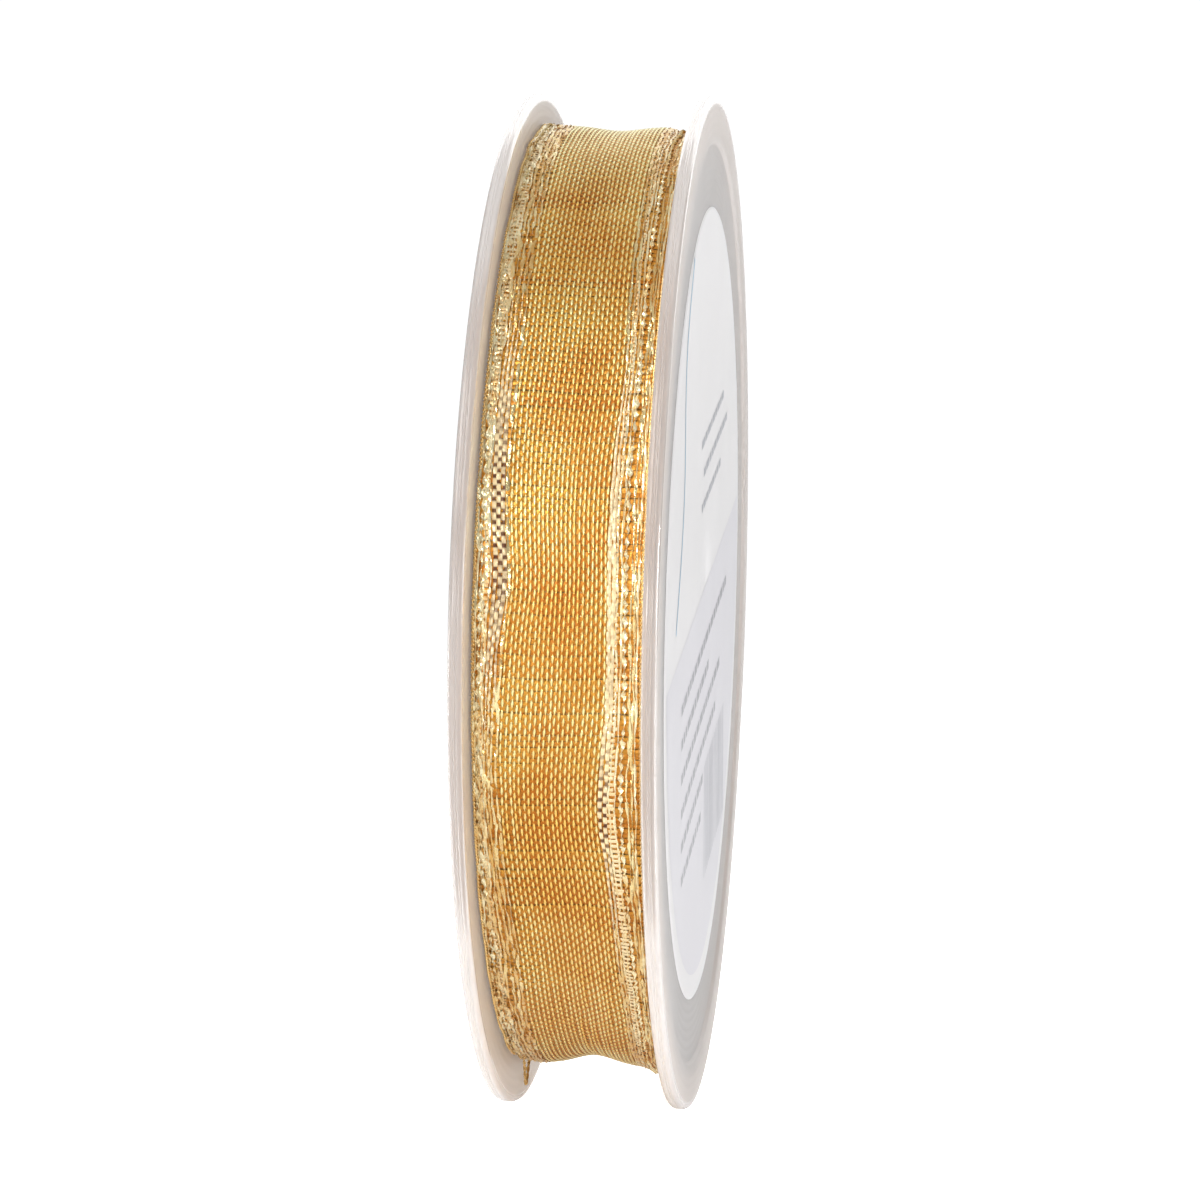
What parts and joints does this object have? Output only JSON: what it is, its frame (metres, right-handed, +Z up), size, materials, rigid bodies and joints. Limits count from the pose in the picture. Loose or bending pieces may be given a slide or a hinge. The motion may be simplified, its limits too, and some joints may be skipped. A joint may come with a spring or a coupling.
{
  "type": "ribbon spool",
  "caption": "Wire-edged organza gift ribbon wound on a translucent two-flange reel with a rod bore and a round face label.",
  "frame": {"origin": "on the spin axis at mid-width, which is the centre of the reel", "axes": "+X along the spin axis towards the labelled flange, +Z up, +Y towards the back, where the ribbon's free tail lies"},
  "size_m": [0.0184, 0.1, 0.1],
  "materials": {
    "reel_plastic": "translucent, satin",
    "core_plastic": "milky, satin",
    "label_paper": "coated paper",
    "organza": "sheer plain weave with a metallic sheen",
    "metallic_selvedge": "sparkling flat metallic yarn",
    "edge_wire": "bright fine wire",
    "adhesive_tape": "clear film"
  },
  "bodies": {
    "spool": {"left_flange": "reel_plastic", "right_flange": "reel_plastic", "hub_core": "core_plastic", "face_label": "label_paper", "core_tape": "adhesive_tape", "organza_pack": "organza", "left_selvedge_pack": "metallic_selvedge", "right_selvedge_pack": "metallic_selvedge", "left_edge_wire_pack": "edge_wire", "right_edge_wire_pack": "edge_wire", "organza_wrap": "organza", "left_selvedge_wrap": "metallic_selvedge", "right_selvedge_wrap": "metallic_selvedge", "left_edge_wire_wrap": "edge_wire", "right_edge_wire_wrap": "edge_wire"},
    "tail": {"tail_organza": "organza", "tail_left_selvedge": "metallic_selvedge", "tail_right_selvedge": "metallic_selvedge", "tail_left_edge_wire": "edge_wire", "tail_right_edge_wire": "edge_wire", "tail_tape": "adhesive_tape"}
  },
  "joints": [
    {"name": "tail_lift", "type": "hinge", "parent": "spool", "child": "tail", "pos_m": [0, 0.01585, 0.04355], "axis": [1, 0, 0], "range_deg": [0, 110]}
  ]
}
